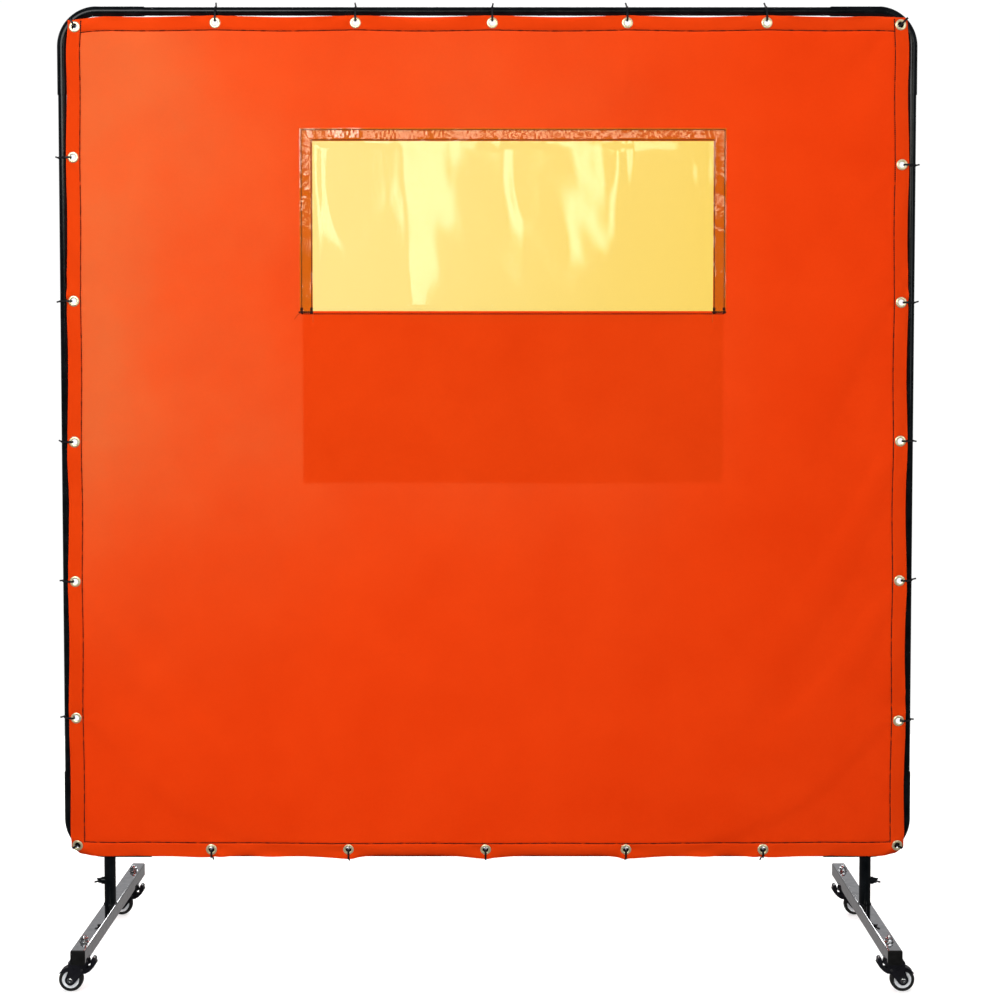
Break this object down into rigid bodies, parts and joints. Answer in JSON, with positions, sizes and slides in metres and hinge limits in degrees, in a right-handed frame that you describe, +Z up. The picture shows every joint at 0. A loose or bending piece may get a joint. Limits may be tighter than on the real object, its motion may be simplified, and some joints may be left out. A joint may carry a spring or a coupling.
{
  "type": "welding curtain screen",
  "caption": "Rolling welding screen: a laced orange curtain with a see-through amber window and rear flap in a black tube frame on wheeled feet.",
  "frame": {"origin": "on the floor, under the middle of the screen", "axes": "+Z up, +X to the right seen from the front, -Y towards the viewer; the foot bars run along Y"},
  "size_m": [1.8752, 0.616, 2.0726],
  "materials": {
    "frame_black": "semi-gloss black powder coat",
    "curtain_orange": "matte orange-red flame-resistant cloth, slightly translucent",
    "hem_orange": "doubled cloth with a dark stitch line",
    "window_amber": "glossy see-through amber sheet",
    "hook_and_loop": "black woven tape",
    "grommet_brass": "bright, worn at the rims",
    "tie_black": "moulded nylon",
    "bar_chrome": "mirror polish",
    "cap_black": "moulded",
    "zinc": "bright zinc plate",
    "fork_black": "glossy moulded nylon",
    "wheel_grey": "moulded light grey",
    "tyre_black": "smooth tread"
  },
  "bodies": {
    "screen": {"top_rail": "frame_black", "bottom_rail": "frame_black", "left_upright": "frame_black", "right_upright": "frame_black", "corner_top_left": "frame_black", "corner_top_right": "frame_black", "corner_bottom_left": "frame_black", "corner_bottom_right": "frame_black", "curtain": "curtain_orange", "hem": "hem_orange", "window_pane": "window_amber", "window_loop_strips": "hook_and_loop", "grommets": "grommet_brass", "ties_top": "tie_black", "ties_bottom": "tie_black", "ties_left": "tie_black", "ties_right": "tie_black"},
    "window_flap": {"flap_panel": "curtain_orange", "flap_hook_strips": "hook_and_loop"},
    "left_foot": {"left_foot_bar": "bar_chrome", "left_post": "frame_black", "left_weld_nut": "frame_black", "left_end_caps": "cap_black", "left_stems": "zinc", "left_stem_nuts": "zinc"},
    "left_wing_bolt": {"left_wing_bolt": "frame_black"},
    "front_left_caster": {"front_left_fork": "fork_black", "front_left_axle": "zinc", "front_left_brake_pin": "zinc"},
    "front_left_roller": {"front_left_wheel": "wheel_grey", "front_left_tyre": "tyre_black"},
    "front_left_brake": {"front_left_brake_lever": "fork_black"},
    "rear_left_caster": {"rear_left_fork": "fork_black", "rear_left_axle": "zinc", "rear_left_brake_pin": "zinc"},
    "rear_left_roller": {"rear_left_wheel": "wheel_grey", "rear_left_tyre": "tyre_black"},
    "rear_left_brake": {"rear_left_brake_lever": "fork_black"},
    "right_foot": {"right_foot_bar": "bar_chrome", "right_post": "frame_black", "right_weld_nut": "frame_black", "right_end_caps": "cap_black", "right_stems": "zinc", "right_stem_nuts": "zinc"},
    "right_wing_bolt": {"right_wing_bolt": "frame_black"},
    "front_right_caster": {"front_right_fork": "fork_black", "front_right_axle": "zinc", "front_right_brake_pin": "zinc"},
    "front_right_roller": {"front_right_wheel": "wheel_grey", "front_right_tyre": "tyre_black"},
    "front_right_brake": {"front_right_brake_lever": "fork_black"},
    "rear_right_caster": {"rear_right_fork": "fork_black", "rear_right_axle": "zinc", "rear_right_brake_pin": "zinc"},
    "rear_right_roller": {"rear_right_wheel": "wheel_grey", "rear_right_tyre": "tyre_black"},
    "rear_right_brake": {"rear_right_brake_lever": "fork_black"}
  },
  "joints": [
    {"name": "screen_lift", "type": "slide", "parent": "left_foot", "child": "screen", "axis": [0, 0, 1], "range_m": [0, 0.06]},
    {"name": "flap_fold", "type": "hinge", "parent": "screen", "child": "window_flap", "pos_m": [0.0555, -0.012, 1.405], "axis": [1, 0, 0], "range_deg": [0, 180]},
    {"name": "right_foot_slide", "type": "slide", "parent": "screen", "child": "right_foot", "axis": [0, 0, -1], "range_m": [0, 0.06]},
    {"name": "left_wing_turn", "type": "hinge", "parent": "left_foot", "child": "left_wing_bolt", "pos_m": [-0.855, 0, 0.155], "axis": [-1, 0, 0], "continuous": true},
    {"name": "front_left_swivel", "type": "hinge", "parent": "left_foot", "child": "front_left_caster", "pos_m": [-0.832, -0.248, 0.065], "axis": [0, 0, 1], "continuous": true},
    {"name": "front_left_roll", "type": "hinge", "parent": "front_left_caster", "child": "front_left_roller", "pos_m": [-0.859, -0.248, 0.025], "axis": [0, 1, 0], "continuous": true},
    {"name": "front_left_brake_press", "type": "hinge", "parent": "front_left_caster", "child": "front_left_brake", "pos_m": [-0.835, -0.248, 0.046], "axis": [0, 1, 0], "range_deg": [0, 15]},
    {"name": "rear_left_swivel", "type": "hinge", "parent": "left_foot", "child": "rear_left_caster", "pos_m": [-0.832, 0.248, 0.065], "axis": [0, 0, 1], "continuous": true},
    {"name": "rear_left_roll", "type": "hinge", "parent": "rear_left_caster", "child": "rear_left_roller", "pos_m": [-0.859, 0.248, 0.025], "axis": [0, 1, 0], "continuous": true},
    {"name": "rear_left_brake_press", "type": "hinge", "parent": "rear_left_caster", "child": "rear_left_brake", "pos_m": [-0.835, 0.248, 0.046], "axis": [0, 1, 0], "range_deg": [0, 15]},
    {"name": "right_wing_turn", "type": "hinge", "parent": "right_foot", "child": "right_wing_bolt", "pos_m": [0.855, 0, 0.155], "axis": [1, 0, 0], "continuous": true},
    {"name": "front_right_swivel", "type": "hinge", "parent": "right_foot", "child": "front_right_caster", "pos_m": [0.832, -0.248, 0.065], "axis": [0, 0, 1], "continuous": true},
    {"name": "front_right_roll", "type": "hinge", "parent": "front_right_caster", "child": "front_right_roller", "pos_m": [0.859, -0.248, 0.025], "axis": [0, 1, 0], "continuous": true},
    {"name": "front_right_brake_press", "type": "hinge", "parent": "front_right_caster", "child": "front_right_brake", "pos_m": [0.835, -0.248, 0.046], "axis": [0, -1, 0], "range_deg": [0, 15]},
    {"name": "rear_right_swivel", "type": "hinge", "parent": "right_foot", "child": "rear_right_caster", "pos_m": [0.832, 0.248, 0.065], "axis": [0, 0, 1], "continuous": true},
    {"name": "rear_right_roll", "type": "hinge", "parent": "rear_right_caster", "child": "rear_right_roller", "pos_m": [0.859, 0.248, 0.025], "axis": [0, 1, 0], "continuous": true},
    {"name": "rear_right_brake_press", "type": "hinge", "parent": "rear_right_caster", "child": "rear_right_brake", "pos_m": [0.835, 0.248, 0.046], "axis": [0, -1, 0], "range_deg": [0, 15]}
  ],
  "couplings": [
    {"joint": "right_foot_slide", "follows": "screen_lift", "ratio": 1}
  ]
}
